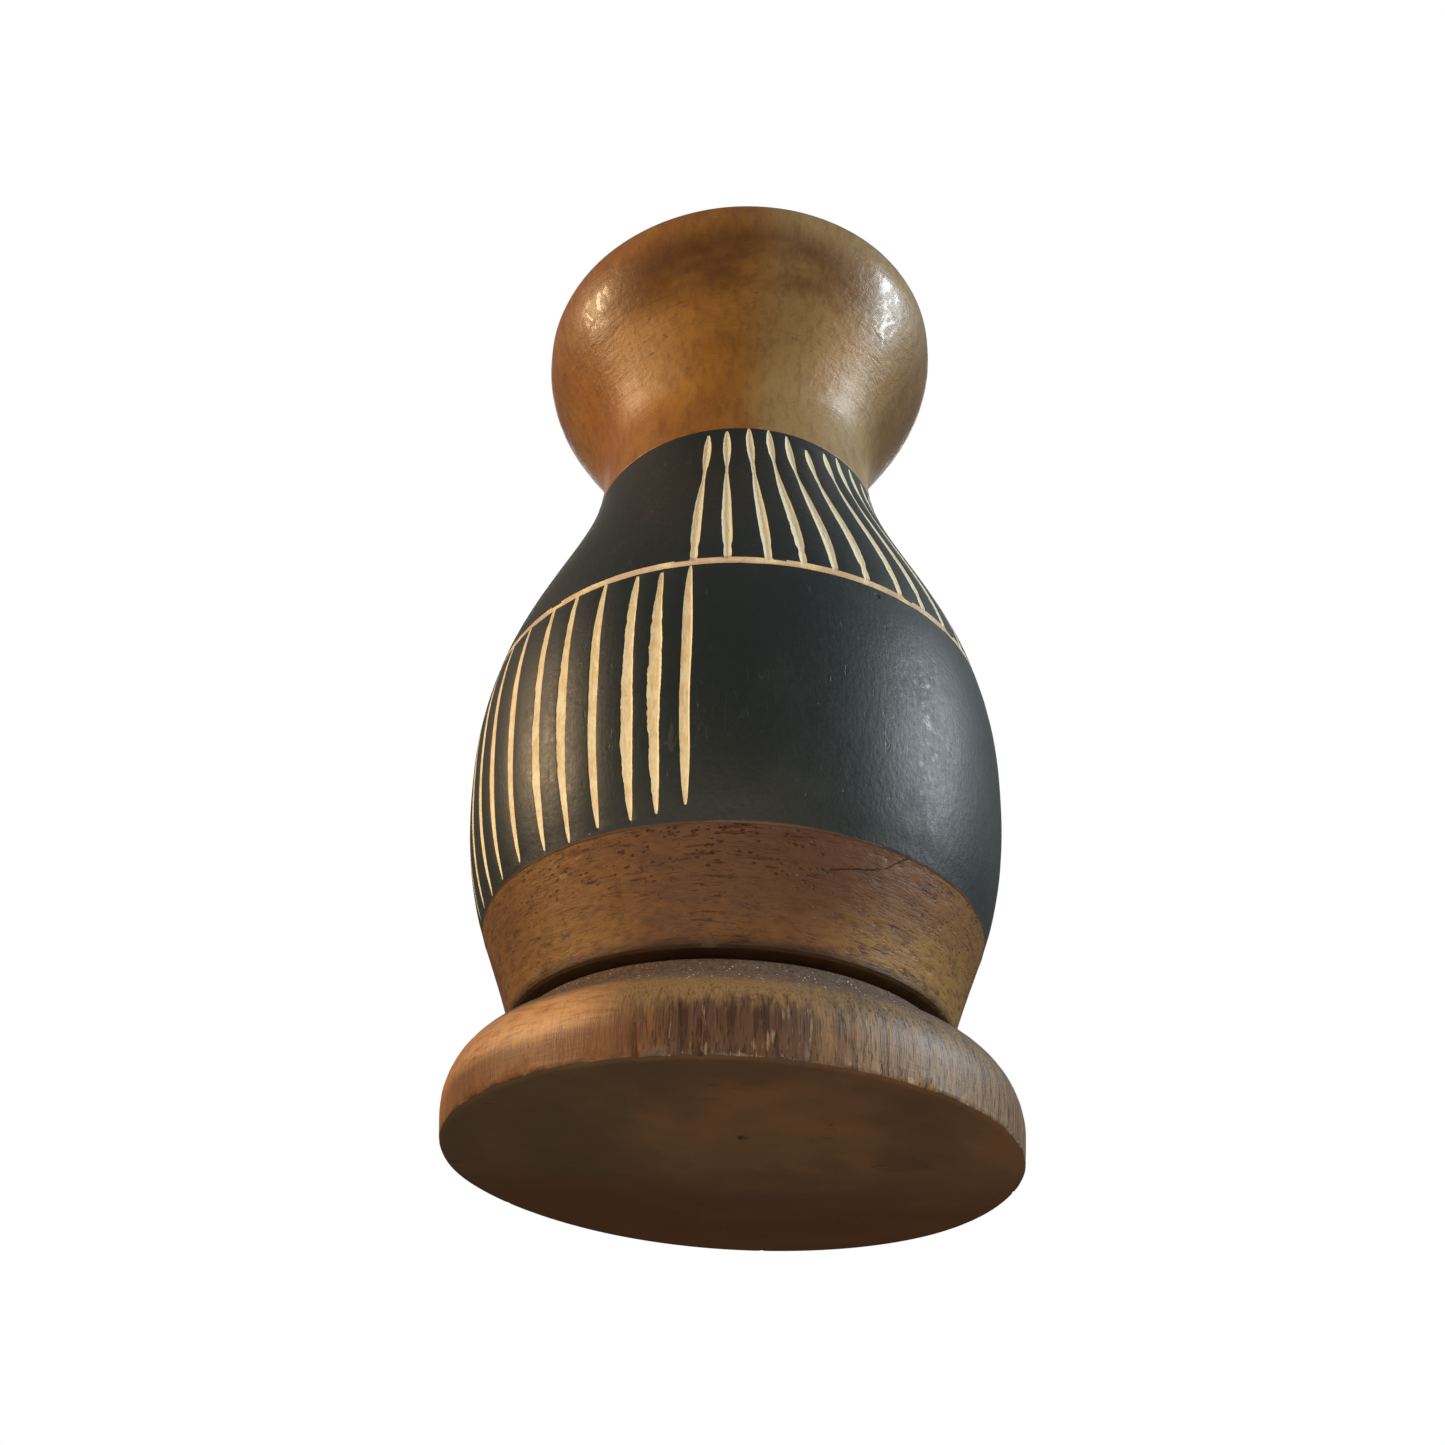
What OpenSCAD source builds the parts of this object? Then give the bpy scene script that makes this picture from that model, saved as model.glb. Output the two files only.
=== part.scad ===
// Turned and carved wooden vase. Five turned blocks are glued together on round spigots:
// a foot disc, a brown base, a black belly, a black shoulder and a brown cup-shaped mouth.
// The black blocks carry cut lines in opposite quarters, above and below a carved ring.

/* [Heights] */
// Height of the foot disc, from the table to the groove above it
foot_h = 21.5; // [20:0.5:23]
// Height of the narrow groove between the foot and the base
groove_h = 1.5; // [1:0.25:2.5]
// Height at which the brown base ends and the black starts
belt_z = 42; // [40:1:45]
// Height of the widest part of the belly
belly_z = 78; // [74:1:82]
// Height of the carved ring
ring_z = 96; // [92:1:100]
// Height at which the black ends and the mouth starts
neck_z = 151; // [148:1:154]
// Height of the waist, the narrowest part
waist_z = 165; // [162:1:168]
// Height at which the mouth's side turns upright
lip_z = 200; // [196:1:203]
// Height of the whole vase
rim_z = 208; // [206:1:212]

/* [Radii] */
// Radius of the underside of the foot
foot_r = 50; // [48:0.5:52]
// Radius of the collar on top of the foot
collar_r = 39; // [37:0.5:40]
// Radius of the base where it meets the groove
base_r = 39.9; // [39:0.1:41]
// Radius where the brown base ends
belt_r = 46.8; // [46:0.1:48]
// Radius of the belly at its widest
belly_r = 52.4; // [51:0.1:54]
// Radius at the carved ring
ring_r = 50.4; // [49:0.1:51]
// Radius where the mouth starts
neck_r = 31.8; // [31:0.1:33]
// Radius of the waist
waist_r = 30.8; // [30:0.1:31.5]
// Radius where the mouth turns upright
lip_r = 46.6; // [45:0.1:48]

/* [Walls and joints] */
// Thickness of the wall, measured across the vase
wall = 8; // [7:0.5:9]
// Thickness of the wall at the rounded lip
lip_wall = 5; // [4:0.5:6]
// Radius of the spigot that plugs the foot into the base
plug_r = 34; // [32:0.5:35]
// Length of every spigot
spigot_h = 8; // [6:1:9]
// Glue gap round each spigot
glue_gap = 0.1; // [0.05:0.05:0.2]

/* [Carving] */
// Width of a cut line
cut_w = 2.2; // [1.6:0.1:2.8]
// Depth of a cut line at its deepest
cut_d = 0.9; // [0.5:0.1:1.4]
// Cut lines in each carved quarter
cut_count = 12; // [8:1:13]
// Angle between two cut lines, in degrees
cut_pitch = 7.2; // [6:0.1:8]
// Angle of the edge that the carved quarters share, clockwise from the front
panel_edge = 8.7; // [0:0.1:20]
// Width of the carved ring
ring_w = 2.4; // [1.5:0.1:3]
// Depth of the carved ring
ring_d = 1.2; // [0.6:0.1:1.6]

/* [Hidden] */
$fn = 96;

step = 4.5; // spacing of the outline's points
body_z = foot_h + groove_h; // underside of the base
chamfer = 0.6; // worn edge of the foot
foot_swell = 0.5; // how far the foot's side stands out over its underside
shoulder_low = 6; // the foot's side starts to round over here
shoulder_high = 17; // and meets the collar here
shoulder_in = 9; // how far it rounds inwards
groove_in = 3.5; // how far the groove runs in behind the collar
half_lap = 4; // what a spigot leaves of the wall outside it
front = -90; // the front of the vase looks along -Y
start_air = 0.3; // a cutter starts and ends this far outside the wood
cut_low = 2.2; // gap between the base and the lines above it
cut_top = 1.5; // gap between the neck edge and the lines below it
pinch_z = 136; // the two strokes of an upper line meet here
belt_lap = belt_r - half_lap;
ring_lap = ring_r - half_lap - 2;
neck_lap = neck_r - half_lap;

// Places where the outline is fixed: height, radius and slope of the side.
STATIONS = [
    [body_z, base_r, 0.27], [belt_z, belt_r, 0.385], [belly_z, belly_r, 0],
    [ring_z, ring_r, -0.208], [neck_z, neck_r, -0.15], [waist_z, waist_r, 0],
    [lip_z, lip_r, 0.2], [rim_z, lip_r, -0.25]
];

// Smooth curve from station a to station b.
function span_r(a, b, z) =
    let (h = b[0] - a[0], t = (z - a[0]) / h)
    a[1] * (2 * pow(t, 3) - 3 * t * t + 1) + a[2] * h * (pow(t, 3) - 2 * t * t + t)
    + b[1] * (3 * t * t - 2 * pow(t, 3)) + b[2] * h * (pow(t, 3) - t * t);

// Radius of the outside at height z.
function outer_r(z, i = 0) =
    z <= STATIONS[i + 1][0] || i == len(STATIONS) - 2
        ? span_r(STATIONS[i], STATIONS[i + 1], z)
        : outer_r(z, i + 1);

// Radius of the inside: the wall thins above the waist.
function inner_r(z) =
    outer_r(z) - wall + (wall - lip_wall) * max(0, z - waist_z) / (rim_z - waist_z);

// Even heights from low to high.
function heights(low, high) =
    let (n = ceil((high - low) / step)) [for (i = [0:n]) low + (high - low) * i / n];

function outer_side(low, high) = [for (z = heights(low, high)) [outer_r(z), z]];
function inner_side(low, high) =
    let (zs = heights(low, high)) [for (i = [len(zs) - 1:-1:0]) [inner_r(zs[i]), zs[i]]];

// Turned tube between two heights, following the outline and the inside.
module shell(low, high) {
    rotate_extrude() polygon(concat(outer_side(low, high), inner_side(low, high)));
}

// Ring that stands in a rebate: straight outside, the vase's own inside.
module spigot(r, low, high) {
    rotate_extrude() polygon(concat([[r, low], [r, high]], inner_side(low, high)));
}

module rebate(r, low, high) {
    translate([0, 0, low]) cylinder(r = r + glue_gap, h = high - low);
}

// V-shaped ring round the outside, whose deepest line lies on ring_z.
module ring_cut() {
    out = ring_r + 2;
    half = ring_w / 2 * (2 + ring_d) / ring_d;
    rotate_extrude() polygon([[ring_r - ring_d, ring_z], [out, ring_z + half], [out, ring_z - half]]);
}

// Depth of a stroke at t, from 0 at one end to 1 at the other.
function stroke(t) = (cut_d + start_air) * sin(180 * t) - start_air;

// One line cut down the outside: shallow at each end and deepest halfway.
module line_cut(low, high) {
    n = 12;
    zs = [for (i = [0:n]) low + (high - low) * i / n];
    floor_side = [for (i = [0:n]) [outer_r(zs[i]) - stroke(i / n), zs[i]]];
    air_side = [for (i = [n:-1:0]) [outer_r(zs[i]) + 2, zs[i]]];
    turn = cut_w / outer_r((low + high) / 2) * 180 / PI;
    rotate([0, 0, -turn / 2]) rotate_extrude(angle = turn) polygon(concat(floor_side, air_side));
}

// Carved quarter: a row of lines running one way round from its first line.
module carved_quarter(first, way, low, high) {
    for (i = [0:cut_count - 1])
        rotate([0, 0, front + first + way * i * cut_pitch]) line_cut(low, high);
}

module foot() {
    side = [for (a = [0:10:90]) [
        foot_r + foot_swell - shoulder_in * (1 - cos(a)),
        shoulder_low + (shoulder_high - shoulder_low) * sin(a)
    ]];
    disc = concat([[0, 0], [foot_r - chamfer, 0], [foot_r, chamfer]], side,
        [[collar_r, foot_h], [collar_r - groove_in, foot_h], [collar_r - groove_in, body_z], [0, body_z]]);
    color("peru") {
        rotate_extrude() polygon(disc);
        translate([0, 0, body_z]) cylinder(r = plug_r, h = spigot_h);
    }
}

module base() {
    color("sienna") {
        difference() {
            shell(body_z, belt_z);
            rebate(plug_r, body_z - 1, belt_z);
        }
        spigot(belt_lap, belt_z, belt_z + spigot_h);
    }
}

module belly() {
    color("darkslategray") difference() {
        union() {
            shell(belt_z, ring_z);
            spigot(ring_lap, ring_z, ring_z + spigot_h);
        }
        rebate(belt_lap, belt_z - 1, belt_z + spigot_h);
        ring_cut();
        for (side = [0, 180])
            carved_quarter(side - panel_edge, -1, belt_z + cut_low, ring_z - ring_w / 2);
    }
}

module shoulder() {
    color("darkslategray") difference() {
        shell(ring_z, neck_z);
        rebate(ring_lap, ring_z - 1, ring_z + spigot_h);
        rebate(neck_lap, neck_z - spigot_h, neck_z + 1);
        ring_cut();
        for (side = [0, 180]) {
            carved_quarter(side - panel_edge, 1, ring_z, pinch_z);
            carved_quarter(side - panel_edge, 1, pinch_z, neck_z - cut_top);
        }
    }
}

module mouth() {
    bead = lip_wall / 2;
    top = rim_z - bead;
    arc = [for (a = [15:15:165]) [outer_r(top) - bead + bead * cos(a), top + bead * sin(a)]];
    lip_in = [[outer_r(top) - lip_wall, top]];
    color("chocolate") {
        rotate_extrude() polygon(concat(outer_side(neck_z, top), arc, lip_in, inner_side(neck_z, top - bead)));
        spigot(neck_lap, neck_z - spigot_h, neck_z);
    }
}

foot();
base();
belly();
shoulder();
mouth();
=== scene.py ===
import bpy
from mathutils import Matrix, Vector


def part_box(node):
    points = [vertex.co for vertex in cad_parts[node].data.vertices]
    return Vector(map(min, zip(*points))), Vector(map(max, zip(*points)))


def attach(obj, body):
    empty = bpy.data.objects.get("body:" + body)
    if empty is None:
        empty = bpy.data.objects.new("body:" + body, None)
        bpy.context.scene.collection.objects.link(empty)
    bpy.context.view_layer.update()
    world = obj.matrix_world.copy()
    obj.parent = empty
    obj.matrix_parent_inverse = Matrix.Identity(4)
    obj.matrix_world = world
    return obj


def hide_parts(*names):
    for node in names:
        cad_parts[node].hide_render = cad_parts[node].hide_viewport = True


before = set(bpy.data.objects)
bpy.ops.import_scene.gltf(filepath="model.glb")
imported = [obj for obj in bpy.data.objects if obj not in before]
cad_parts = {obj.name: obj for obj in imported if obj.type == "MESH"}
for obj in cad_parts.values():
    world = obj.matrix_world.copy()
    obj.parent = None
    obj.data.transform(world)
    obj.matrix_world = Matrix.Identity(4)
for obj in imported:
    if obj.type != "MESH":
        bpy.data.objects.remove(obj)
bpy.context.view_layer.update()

from bisect import bisect_right
from math import atan2, ceil, cos, degrees, hypot, pi, radians, sin, tau

import bpy
from mathutils import Matrix, Vector, noise

mm = 0.001


# helpers for turned work

def smoothCurve(points):
    # a smooth line through (place, value) pairs, held level past its two ends
    points = sorted(points)
    places = [point[0] for point in points]
    values = [point[1] for point in points]
    steps = [(values[i + 1] - values[i]) / (places[i + 1] - places[i]) for i in range(len(points) - 1)]
    slopes = [steps[0]] + [(a + b) / 2 for a, b in zip(steps, steps[1:])] + [steps[-1]]

    def at(place):
        if place <= places[0]:
            return values[0]
        if place >= places[-1]:
            return values[-1]
        i = bisect_right(places, place) - 1
        width = places[i + 1] - places[i]
        t = (place - places[i]) / width
        return (values[i] * (2 * t**3 - 3 * t**2 + 1) + slopes[i] * width * (t**3 - 2 * t**2 + t)
                + values[i + 1] * (3 * t**2 - 2 * t**3) + slopes[i + 1] * width * (t**3 - t**2))

    return at


def fade(value, low, high):
    # 0 below low, 1 above high, with a soft change between them
    t = min(1, max(0, (value - low) / (high - low)))
    return t * t * (3 - 2 * t)


def levels(nodeName, turns=(-180, 180)):
    # the radii of a CAD node's points at each height, read between two turns from the front
    found = {}
    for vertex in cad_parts[nodeName].data.vertices:
        x, y, z = vertex.co
        if turns[0] <= degrees(atan2(x, -y)) <= turns[1]:
            found.setdefault(round(z, 5), []).append(hypot(x, y))
    return sorted(found.items())


def radiiAt(nodeName, height):
    # the smallest and the largest radius of a CAD node at one of its own heights
    radii = [r for z, near in levels(nodeName) if abs(z - height) < 0.02 * mm for r in near]
    return min(radii), max(radii)


def wallLine(nodeName, low, high, first, turns=(-180, 180)):
    # height and radius of the rings along one wall, which starts at a first radius
    # a straight stretch keeps only its two ends
    pairs = []
    last = first
    for z, radii in levels(nodeName, turns):
        nearest = min(radii, key=lambda r: abs(r - last))
        if low - 0.01 * mm <= z <= high + 0.01 * mm and abs(nearest - last) < 3 * mm:
            pairs.append((z, nearest))
            last = nearest
    kept = pairs[:1]
    for (z1, r1), (z2, r2) in zip(pairs[1:], pairs[2:]):
        z0, r0 = kept[-1]
        if abs(r0 + (r2 - r0) * (z1 - z0) / (z2 - z0) - r1) > 0.002 * mm:
            kept.append((z1, r1))
    return kept + pairs[-1:]


def spot(radius, turn, height):
    # the point at a turn from the front, counted towards +X, in radians
    return (radius * sin(turn), -radius * cos(turn), height)


def evenly(low, high, spacing):
    count = max(1, ceil((high - low) / spacing))
    return [low + (high - low) * i / count for i in range(count + 1)]


def turnedPiece(name, grid, slotOf, materials, loop=True):
    # a closed mesh from rows of points that all run round the vase; without a loop its two ends are capped
    rowCount, across = len(grid), len(grid[0])
    points = [point for row in grid for point in row]
    faces, slots = [], []
    for i in range(rowCount if loop else rowCount - 1):
        below, above = i * across, (i + 1) % rowCount * across
        for j in range(across):
            k = (j + 1) % across
            faces.append((below + j, below + k, above + k, above + j))
            slots.append(slotOf(i, j))
    if not loop:
        points += [(0, 0, grid[0][0][2]), (0, 0, grid[-1][0][2])]
        last = (rowCount - 1) * across
        for j in range(across):
            k = (j + 1) % across
            faces += [(len(points) - 2, k, j), (len(points) - 1, last + j, last + k)]
            slots += [slotOf(0, j), slotOf(rowCount - 1, j)]
    mesh = bpy.data.meshes.new(name)
    mesh.from_pydata(points, [], faces)
    for material in materials:
        mesh.materials.append(material)
    mesh.polygons.foreach_set("material_index", slots)
    mesh.polygons.foreach_set("use_smooth", [True] * len(faces))
    mesh.set_sharp_from_angle(angle=radians(28))
    mesh.update()
    piece = bpy.data.objects.new(name, mesh)
    bpy.context.scene.collection.objects.link(piece)
    print(name, "made with", len(faces), "faces")
    return piece


def place(piece, nodeName, slotName):
    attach(piece, "root")
    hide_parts(nodeName)


# helpers for materials

class Wire:
    # one socket of a shader tree; + - * / between wires and numbers add Math nodes

    def __init__(self, tree, socket=None):
        self.tree = tree
        self.socket = socket

    def add(self, kind, settings=None, values=None, out=0):
        made = self.tree.nodes.new("ShaderNode" + kind)
        for key, value in (settings or {}).items():
            setattr(made, key, value)
        for key, value in (values or {}).items():
            socket = made.inputs[key] if isinstance(key, int) else next(
                s for s in made.inputs if key in (s.identifier, s.name))
            if isinstance(value, Wire):
                self.tree.links.new(value.socket, socket)
            elif socket.type == "RGBA":
                socket.default_value = (*value, 1)
            else:
                socket.default_value = value
        if not made.outputs:
            return None
        found = made.outputs[out] if isinstance(out, int) else next(
            s for s in made.outputs if out in (s.identifier, s.name))
        return Wire(self.tree, found)

    def maths(self, operation, first, second=0.0):
        return self.add("Math", {"operation": operation}, {0: first, 1: second})

    def __add__(self, other):
        return self.maths("ADD", self, other)

    def __radd__(self, other):
        return self.maths("ADD", other, self)

    def __sub__(self, other):
        return self.maths("SUBTRACT", self, other)

    def __rsub__(self, other):
        return self.maths("SUBTRACT", other, self)

    def __mul__(self, other):
        return self.maths("MULTIPLY", self, other)

    def __rmul__(self, other):
        return self.maths("MULTIPLY", other, self)

    def __truediv__(self, other):
        return self.maths("DIVIDE", self, other)

    def __rtruediv__(self, other):
        return self.maths("DIVIDE", other, self)

    def size(self):
        return self.maths("ABSOLUTE", self)

    def most(self, other):
        return self.maths("MAXIMUM", self, other)

    def between(self, low, high):
        # 0 at low and 1 at high, with a soft change; low may be the larger one
        if low > high:
            return 1 - self.between(high, low)
        return self.add("MapRange", {"interpolation_type": "SMOOTHSTEP"},
                        {"Value": self, "From Min": low, "From Max": high})

    def tint(self, bare, full):
        # this value mixes from the first colour to the second
        return self.add("Mix", {"data_type": "RGBA"},
                        {"Factor_Float": self, "A_Color": bare, "B_Color": full}, "Result_Color")

    def stretched(self, x, y, z):
        return self.add("VectorMath", {"operation": "MULTIPLY"}, {0: self, 1: (x, y, z)})

    def noise(self, scale, detail=3.0, rough=0.5, twist=0.0):
        return self.add("TexNoise", {}, {"Vector": self, "Scale": scale, "Detail": detail,
                                         "Roughness": rough, "Distortion": twist})

    def cells(self, scale):
        return self.add("TexVoronoi", {}, {"Vector": self, "Scale": scale}, "Distance")

    def moved(self, x, y, z):
        return self.add("VectorMath", {"operation": "ADD"}, {0: self, 1: (x, y, z)})

    def distance(self, x, y, z):
        return self.add("VectorMath", {"operation": "DISTANCE"}, {0: self, 1: (x, y, z)}, "Value")


def newMaterial(name):
    # a material with one surface shader; gives back the material, the shader's node and a wire to start from
    material = bpy.data.materials.new(name)
    material.use_nodes = True
    material.node_tree.nodes.clear()
    start = Wire(material.node_tree)
    surface = start.add("BsdfPrincipled")
    start.add("OutputMaterial", {}, {"Surface": surface})
    return material, surface.socket.node, start


def finishSurface(surface, looks):
    for name, value in looks.items():
        if isinstance(value, Wire):
            value.tree.links.new(value.socket, surface.inputs[name])
        elif surface.inputs[name].type == "RGBA":
            surface.inputs[name].default_value = (*value, 1)
        else:
            surface.inputs[name].default_value = value


def roundVase(start):
    # the place on the vase: the whole point, the turn from the front in radians, the height
    where = start.add("TexCoord", out="Object")
    x, y, z = (start.add("SeparateXYZ", {}, {0: where}, axis) for axis in "XYZ")
    return where, start.maths("ARCTAN2", x, y * -1.0), z


def bump(height, distance, strength):
    return height.add("Bump", {}, {"Height": height, "Distance": distance, "Strength": strength})


def thinLines(where, stretch, width, seedShift):
    # hair-thin scratches: narrow bands where a stretched noise crosses its middle value, broken up by patches
    moved = where.moved(seedShift, seedShift * 2, 0)
    wave = moved.stretched(*stretch).noise(1.0, 1.0)
    line = (wave - 0.5).size().between(width, 0.0)
    patch = moved.noise(70, 2).between(0.56, 0.68)
    return line * patch


# heights and outline, read from the CAD solids

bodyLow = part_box("base")[0].z
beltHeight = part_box("belly")[0].z
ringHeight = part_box("shoulder")[0].z
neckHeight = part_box("shoulder")[1].z
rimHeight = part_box("mouth")[1].z
blankBelly = (10, 75)      # turns between which the belly has no cut lines
blankShoulder = (-85, -20)
lipRise = 2.4 * mm         # how far the round of the lip stands over the walls


def readWalls():
    outside = wallLine("base", bodyLow, beltHeight, radiiAt("base", bodyLow)[1])
    outside += wallLine("belly", beltHeight + mm, ringHeight - 3 * mm, outside[-1][1], blankBelly)
    outside += wallLine("shoulder", ringHeight + 3 * mm, neckHeight - mm, outside[-1][1], blankShoulder)
    outside += wallLine("mouth", neckHeight, rimHeight - lipRise, radiiAt("shoulder", neckHeight)[1])
    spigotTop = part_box("base")[1].z
    inside = wallLine("base", bodyLow, spigotTop, radiiAt("base", bodyLow)[0])
    inside += wallLine("belly", spigotTop + mm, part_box("belly")[1].z, inside[-1][1])
    inside += wallLine("shoulder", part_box("belly")[1].z + 2 * mm, neckHeight - 9 * mm, inside[-1][1])
    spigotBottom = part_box("mouth")[0].z
    inside += wallLine("mouth", spigotBottom, rimHeight - lipRise, radiiAt("mouth", spigotBottom)[0])
    return smoothCurve(outside), smoothCurve(inside), max(outside)[0]


outline, insideLine, lipBase = readWalls()
print("outline read: belly", round(outline(0.078) / mm, 2), "mm, waist", round(outline(0.165) / mm, 2), "mm")


# wood and finishes

bareWood = {
    "pale": (0.95, 0.87, 0.64), "shade": (0.80, 0.62, 0.35), "speck": (0.34, 0.17, 0.06),
    "ringUpperWallBrown": (0.60, 0.45, 0.36), "roughness": 0.62, "fibre": 0.08 * mm,
}


def makeBareWood(name, lightness):
    # pale wood in the cuts: torn fibres and a few dark specks; the ring's upper side is browner
    material, surface, start = newMaterial(name)
    where, _, z = roundVase(start)
    fibres = where.stretched(1, 1, 0.12).noise(2600, 3, 0.6)
    torn = where.noise(1500, 4, 0.65)
    tone = where.noise(240, 3)
    specks = where.cells(1300).between(0.20, 0.06) * where.noise(400, 1).between(0.52, 0.64)
    paleness = (fibres * 0.5 + tone * 0.5 + lightness).between(0.30, 0.58)
    colour = paleness.tint(bareWood["shade"], bareWood["pale"])
    colour = (specks * (0.7 - lightness * 2)).tint(colour, bareWood["speck"])
    flecks = torn.between(0.57, 0.72) * (0.50 - lightness * 2)
    colour = flecks.tint(colour, bareWood["shade"])
    onRing = z.between(ringHeight, ringHeight + 0.15 * mm)
    onRing = onRing * z.between(ringHeight + 1.7 * mm, ringHeight + 1.4 * mm)
    # the ring's upper wall turns browner in patches
    ringUpperWallBrowner = onRing * where.noise(190, 3).between(0.30, 0.60)
    colour = (ringUpperWallBrowner * 0.8).tint(colour, bareWood["ringUpperWallBrown"])
    finishSurface(surface, {
        "Base Color": colour, "Roughness": tone * 0.2 + (bareWood["roughness"] - 0.1),
        "Specular IOR Level": 0.3, "Normal": bump(fibres + torn, bareWood["fibre"], 0.7),
    })
    return material


blackFinish = {
    "black": (0.0080, 0.0146, 0.0162), "worn": (0.0170, 0.0220, 0.0225), "scratch": (0.075, 0.078, 0.078),
    "dust": (0.30, 0.29, 0.27), "edgeBrown": (0.08, 0.036, 0.014), "roughness": 0.49,
    "holeInsideShade": (0.002, 0.002, 0.002),
    "pit": (30.8, 93 * mm, 0.75 * mm),   # a small hole: turn in degrees, height, radius
}


def makeBlackFinish():
    # satin black: cloudy sheen, faint grain down the wall, hair scratches, a little dust, one small hole
    # painted near-black as shade
    material, surface, start = newMaterial("satinBlack")
    where, _, z = roundVase(start)
    cloud = where.noise(34, 4, 0.55)
    grain = where.stretched(1, 1, 0.05).noise(1500, 3, 0.6)
    scratches = thinLines(where, (300, 300, 36), 0.012, 3.1)
    scratches = scratches.most(thinLines(where, (420, 420, 9), 0.010, 7.7) * 0.5)
    nicks = where.stretched(1, 1, 0.25).noise(1100, 2, 0.5).between(0.66, 0.74)
    nicks = nicks * where.noise(110, 2).between(0.46, 0.60)
    dust = where.cells(420).between(0.10, 0.03) * where.noise(150, 1).between(0.60, 0.68)
    handled = where.noise(90, 4, 0.6).between(0.52, 0.72)
    wear = cloud.between(0.35, 0.75) * 0.55 + handled * 0.25
    colour = wear.tint(blackFinish["black"], blackFinish["worn"])
    colour = (scratches * 0.30 + nicks * 0.12).tint(colour, blackFinish["scratch"])
    colour = (dust * 0.6).tint(colour, blackFinish["dust"])
    brushEdge = where.noise(160, 2) * 0.7 * mm
    low = (z - brushEdge).between(beltHeight + 0.05 * mm, beltHeight - 0.12 * mm)
    colour = low.tint(colour, blackFinish["edgeBrown"])
    pitTurn, pitHeight, pitRadius = blackFinish["pit"]
    hole = where.distance(*spot(outline(pitHeight), radians(pitTurn), pitHeight))
    hole = hole.between(pitRadius, pitRadius / 3)
    # painted shade: the hole's inside is near-black, darker than the paint
    colour = hole.tint(colour, blackFinish["holeInsideShade"])
    fine = where.noise(1000, 3, 0.6)
    rough = cloud * 0.20 + handled * 0.08 + scratches * 0.10 + hole * 0.3 + (blackFinish["roughness"] - 0.10)
    rough = rough + (fine - 0.5) * 0.22
    glints = where.noise(540, 4, 0.7).between(0.54, 0.66) * where.noise(130, 3).between(0.38, 0.60)
    dents = where.stretched(1, 1, 0.6).noise(230, 3, 0.55)
    finishSurface(surface, {
        "Base Color": colour, "Roughness": rough, "Specular IOR Level": 0.5,
        "Coat Weight": glints * 0.22, "Coat Roughness": 0.24,
        "Normal": bump(grain * 0.6 + fine * 1.3 + dents * 1.7 - scratches * 0.4 - nicks * 0.8 - hole * 8,
                       0.06 * mm, 0.85),
    })
    return material


# the reddish left and olive right tints are painted lamp tints, the worn colour is a painted glow, and the
# cloud colour is partly stain and partly painted shade
mouthWood = {
    "gold": (0.41, 0.195, 0.036), "brown": (0.27, 0.110, 0.020), "olive": (0.335, 0.232, 0.102),
    "cloud": (0.105, 0.042, 0.012), "worn": (0.56, 0.34, 0.16), "mark": (0.070, 0.026, 0.007),
    "warmLampTint": (0.33, 0.110, 0.018), "roughness": 0.37,
}


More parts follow.
